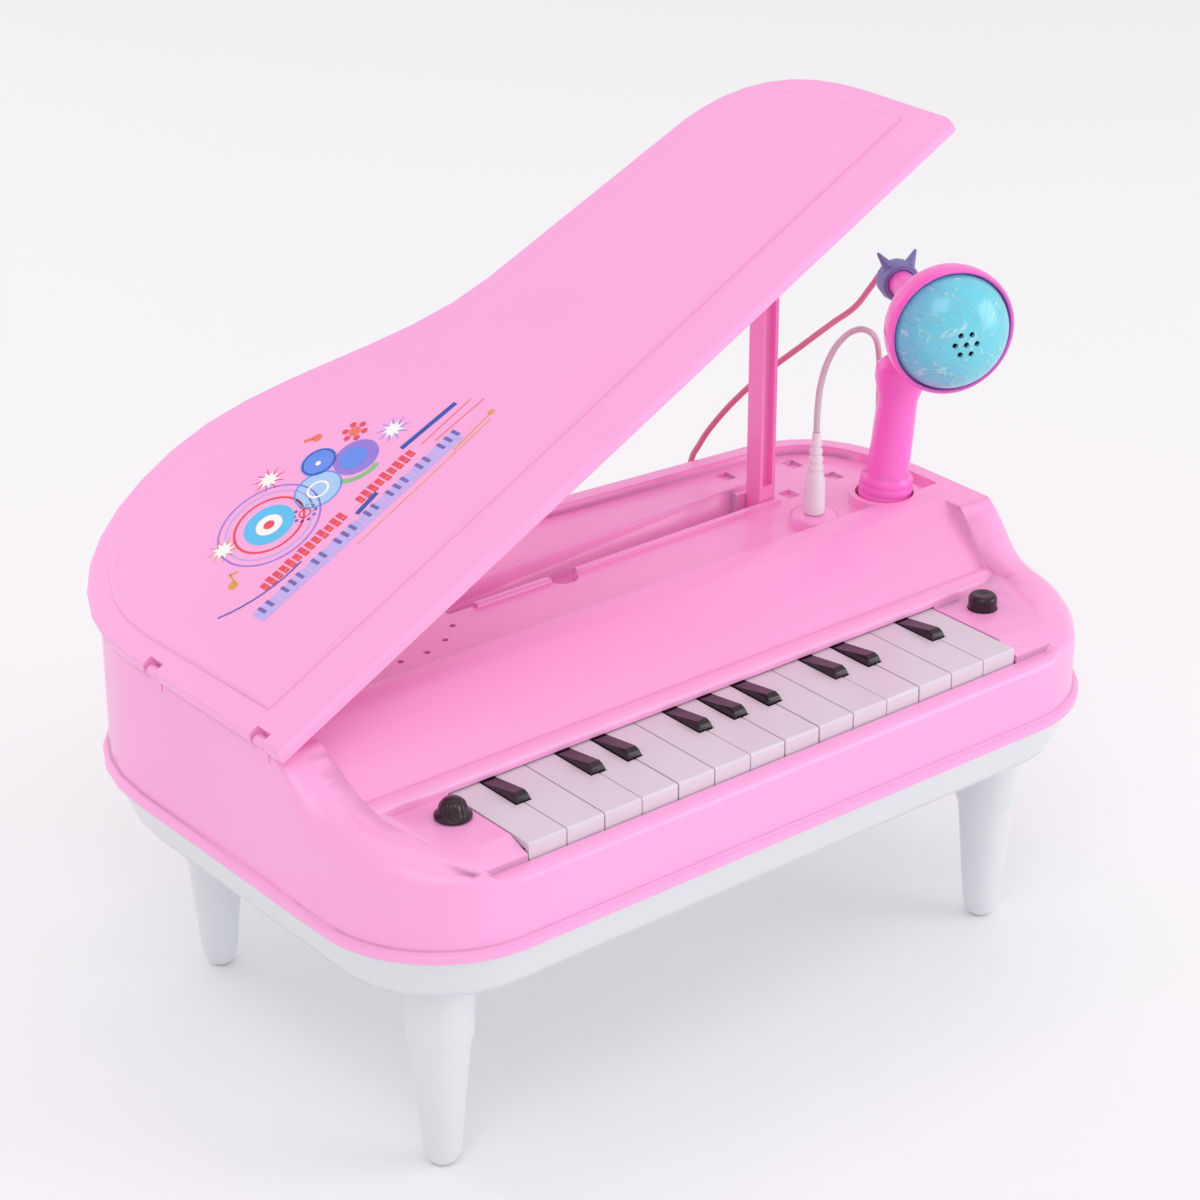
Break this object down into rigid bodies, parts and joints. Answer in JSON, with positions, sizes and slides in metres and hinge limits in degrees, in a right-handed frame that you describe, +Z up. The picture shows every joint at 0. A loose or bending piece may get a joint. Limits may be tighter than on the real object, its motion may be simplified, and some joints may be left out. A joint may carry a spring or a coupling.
{
  "type": "toy electronic keyboard",
  "caption": "Toy grand piano with pressable keys, a lid on a folding prop, a knob, a power button and a microphone on a stand joined by a plugged cord.",
  "frame": {"origin": "middle of the case's floor box: centre of the width and depth, on the surface that the feet stand on", "axes": "+X to the player's right along the keys, +Y away from the player, +Z up"},
  "size_m": [0.3482, 0.2408, 0.3213],
  "materials": {
    "pink_case": "glossy moulded ABS",
    "hot_pink_plastic": "glossy moulded ABS",
    "white_plastic": "glossy moulded ABS",
    "white_keys": "glossy moulded ABS",
    "black_keys": "glossy moulded ABS",
    "turquoise_plastic": "pearly moulded plastic",
    "grey_violet_plastic": "satin moulded plastic",
    "plug_boot": "soft moulded PVC",
    "cord_jacket": "smooth PVC",
    "black_rubber": "matt",
    "steel": "plated",
    "circuit_board": "phenolic laminate",
    "speaker_cone": "paper cone in a steel basket",
    "battery_wrap": "printed film over steel"
  },
  "bodies": {
    "root": {"upper_shell": "pink_case", "mic_shell": "hot_pink_plastic", "mic_stand": "hot_pink_plastic", "base_tray": "white_plastic", "leg_front_left": "white_plastic", "leg_front_right": "white_plastic", "leg_back_left": "white_plastic", "leg_back_right": "white_plastic", "mic_dome": "turquoise_plastic", "mic_tail_cap": "grey_violet_plastic", "jack_plug": "plug_boot", "mic_cord_front": "cord_jacket", "mic_cord_back": "cord_jacket", "mic_cord_coil": "cord_jacket", "mic_cord_tie": "black_rubber", "key_contact_strip": "black_rubber", "volume_potentiometer": "black_rubber", "power_switch": "black_rubber", "jack_socket": "black_rubber", "mic_capsule": "black_rubber", "case_screw_1": "steel", "case_screw_2": "steel", "key_axle": "steel", "battery_contacts": "steel", "lid_hinge_pin_front": "steel", "lid_hinge_pin_rear": "steel", "prop_pivot_pin": "steel", "circuit_board": "circuit_board", "speaker": "speaker_cone", "battery_1": "battery_wrap", "battery_2": "battery_wrap", "battery_3": "battery_wrap"},
    "lid": {"lid": "pink_case"},
    "prop": {"prop_stick": "hot_pink_plastic"},
    "white_key_01": {"white_key_01": "white_keys"},
    "white_key_02": {"white_key_02": "white_keys"},
    "white_key_03": {"white_key_03": "white_keys"},
    "white_key_04": {"white_key_04": "white_keys"},
    "white_key_05": {"white_key_05": "white_keys"},
    "white_key_06": {"white_key_06": "white_keys"},
    "white_key_07": {"white_key_07": "white_keys"},
    "white_key_08": {"white_key_08": "white_keys"},
    "white_key_09": {"white_key_09": "white_keys"},
    "white_key_10": {"white_key_10": "white_keys"},
    "white_key_11": {"white_key_11": "white_keys"},
    "white_key_12": {"white_key_12": "white_keys"},
    "white_key_13": {"white_key_13": "white_keys"},
    "white_key_14": {"white_key_14": "white_keys"},
    "black_key_01": {"black_key_01": "black_keys"},
    "black_key_02": {"black_key_02": "black_keys"},
    "black_key_03": {"black_key_03": "black_keys"},
    "black_key_04": {"black_key_04": "black_keys"},
    "black_key_05": {"black_key_05": "black_keys"},
    "black_key_06": {"black_key_06": "black_keys"},
    "black_key_07": {"black_key_07": "black_keys"},
    "black_key_08": {"black_key_08": "black_keys"},
    "black_key_09": {"black_key_09": "black_keys"},
    "volume_knob": {"volume_knob": "black_keys"},
    "power_button": {"power_button": "black_keys"},
    "battery_door": {"battery_door": "white_plastic"}
  },
  "joints": [
    {"name": "lid_hinge", "type": "hinge", "parent": "root", "child": "lid", "pos_m": [-0.1705, 0, 0.1606], "axis": [0, -1, 0], "range_deg": [0, 45]},
    {"name": "prop_fold", "type": "hinge", "parent": "root", "child": "prop", "pos_m": [0.102, 0.018, 0.152], "axis": [0, -1, 0], "range_deg": [0, 88]},
    {"name": "white_key_01_press", "type": "hinge", "parent": "root", "child": "white_key_01", "pos_m": [-0.10725, -0.049, 0.128], "axis": [1, 0, 0], "range_deg": [0, 3.2], "stiffness_Nm_per_rad": 0.3, "springref_deg": -2.86},
    {"name": "white_key_02_press", "type": "hinge", "parent": "root", "child": "white_key_02", "pos_m": [-0.09075, -0.049, 0.128], "axis": [1, 0, 0], "range_deg": [0, 3.2], "stiffness_Nm_per_rad": 0.3, "springref_deg": -2.86},
    {"name": "white_key_03_press", "type": "hinge", "parent": "root", "child": "white_key_03", "pos_m": [-0.07425, -0.049, 0.128], "axis": [1, 0, 0], "range_deg": [0, 3.2], "stiffness_Nm_per_rad": 0.3, "springref_deg": -2.86},
    {"name": "white_key_04_press", "type": "hinge", "parent": "root", "child": "white_key_04", "pos_m": [-0.05775, -0.049, 0.128], "axis": [1, 0, 0], "range_deg": [0, 3.2], "stiffness_Nm_per_rad": 0.3, "springref_deg": -2.86},
    {"name": "white_key_05_press", "type": "hinge", "parent": "root", "child": "white_key_05", "pos_m": [-0.04125, -0.049, 0.128], "axis": [1, 0, 0], "range_deg": [0, 3.2], "stiffness_Nm_per_rad": 0.3, "springref_deg": -2.86},
    {"name": "white_key_06_press", "type": "hinge", "parent": "root", "child": "white_key_06", "pos_m": [-0.02475, -0.049, 0.128], "axis": [1, 0, 0], "range_deg": [0, 3.2], "stiffness_Nm_per_rad": 0.3, "springref_deg": -2.86},
    {"name": "white_key_07_press", "type": "hinge", "parent": "root", "child": "white_key_07", "pos_m": [-0.00825, -0.049, 0.128], "axis": [1, 0, 0], "range_deg": [0, 3.2], "stiffness_Nm_per_rad": 0.3, "springref_deg": -2.86},
    {"name": "white_key_08_press", "type": "hinge", "parent": "root", "child": "white_key_08", "pos_m": [0.00825, -0.049, 0.128], "axis": [1, 0, 0], "range_deg": [0, 3.2], "stiffness_Nm_per_rad": 0.3, "springref_deg": -2.86},
    {"name": "white_key_09_press", "type": "hinge", "parent": "root", "child": "white_key_09", "pos_m": [0.02475, -0.049, 0.128], "axis": [1, 0, 0], "range_deg": [0, 3.2], "stiffness_Nm_per_rad": 0.3, "springref_deg": -2.86},
    {"name": "white_key_10_press", "type": "hinge", "parent": "root", "child": "white_key_10", "pos_m": [0.04125, -0.049, 0.128], "axis": [1, 0, 0], "range_deg": [0, 3.2], "stiffness_Nm_per_rad": 0.3, "springref_deg": -2.86},
    {"name": "white_key_11_press", "type": "hinge", "parent": "root", "child": "white_key_11", "pos_m": [0.05775, -0.049, 0.128], "axis": [1, 0, 0], "range_deg": [0, 3.2], "stiffness_Nm_per_rad": 0.3, "springref_deg": -2.86},
    {"name": "white_key_12_press", "type": "hinge", "parent": "root", "child": "white_key_12", "pos_m": [0.07425, -0.049, 0.128], "axis": [1, 0, 0], "range_deg": [0, 3.2], "stiffness_Nm_per_rad": 0.3, "springref_deg": -2.86},
    {"name": "white_key_13_press", "type": "hinge", "parent": "root", "child": "white_key_13", "pos_m": [0.09075, -0.049, 0.128], "axis": [1, 0, 0], "range_deg": [0, 3.2], "stiffness_Nm_per_rad": 0.3, "springref_deg": -2.86},
    {"name": "white_key_14_press", "type": "hinge", "parent": "root", "child": "white_key_14", "pos_m": [0.10725, -0.049, 0.128], "axis": [1, 0, 0], "range_deg": [0, 3.2], "stiffness_Nm_per_rad": 0.3, "springref_deg": -2.86},
    {"name": "black_key_01_press", "type": "hinge", "parent": "root", "child": "black_key_01", "pos_m": [-0.099, -0.049, 0.128], "axis": [1, 0, 0], "range_deg": [0, 3.2], "stiffness_Nm_per_rad": 0.3, "springref_deg": -2.86},
    {"name": "black_key_02_press", "type": "hinge", "parent": "root", "child": "black_key_02", "pos_m": [-0.066, -0.049, 0.128], "axis": [1, 0, 0], "range_deg": [0, 3.2], "stiffness_Nm_per_rad": 0.3, "springref_deg": -2.86},
    {"name": "black_key_03_press", "type": "hinge", "parent": "root", "child": "black_key_03", "pos_m": [-0.0495, -0.049, 0.128], "axis": [1, 0, 0], "range_deg": [0, 3.2], "stiffness_Nm_per_rad": 0.3, "springref_deg": -2.86},
    {"name": "black_key_04_press", "type": "hinge", "parent": "root", "child": "black_key_04", "pos_m": [-0.0165, -0.049, 0.128], "axis": [1, 0, 0], "range_deg": [0, 3.2], "stiffness_Nm_per_rad": 0.3, "springref_deg": -2.86},
    {"name": "black_key_05_press", "type": "hinge", "parent": "root", "child": "black_key_05", "pos_m": [0, -0.049, 0.128], "axis": [1, 0, 0], "range_deg": [0, 3.2], "stiffness_Nm_per_rad": 0.3, "springref_deg": -2.86},
    {"name": "black_key_06_press", "type": "hinge", "parent": "root", "child": "black_key_06", "pos_m": [0.0165, -0.049, 0.128], "axis": [1, 0, 0], "range_deg": [0, 3.2], "stiffness_Nm_per_rad": 0.3, "springref_deg": -2.86},
    {"name": "black_key_07_press", "type": "hinge", "parent": "root", "child": "black_key_07", "pos_m": [0.0495, -0.049, 0.128], "axis": [1, 0, 0], "range_deg": [0, 3.2], "stiffness_Nm_per_rad": 0.3, "springref_deg": -2.86},
    {"name": "black_key_08_press", "type": "hinge", "parent": "root", "child": "black_key_08", "pos_m": [0.066, -0.049, 0.128], "axis": [1, 0, 0], "range_deg": [0, 3.2], "stiffness_Nm_per_rad": 0.3, "springref_deg": -2.86},
    {"name": "black_key_09_press", "type": "hinge", "parent": "root", "child": "black_key_09", "pos_m": [0.099, -0.049, 0.128], "axis": [1, 0, 0], "range_deg": [0, 3.2], "stiffness_Nm_per_rad": 0.3, "springref_deg": -2.86},
    {"name": "volume_knob_turn", "type": "hinge", "parent": "root", "child": "volume_knob", "pos_m": [-0.124, -0.08, 0.138], "axis": [0, 0, 1], "range_deg": [-135, 135]},
    {"name": "power_button_press", "type": "slide", "parent": "root", "child": "power_button", "axis": [0, 0, -1], "range_m": [0, 0.002], "stiffness_N_per_m": 300, "springref_m": -0.002},
    {"name": "battery_door_swing", "type": "hinge", "parent": "root", "child": "battery_door", "pos_m": [0, -0.0205, 0.084], "axis": [-1, 0, 0], "range_deg": [0, 85]}
  ],
  "couplings": [
    {"joint": "prop_fold", "follows": "lid_hinge", "ratio": 1.9555}
  ]
}
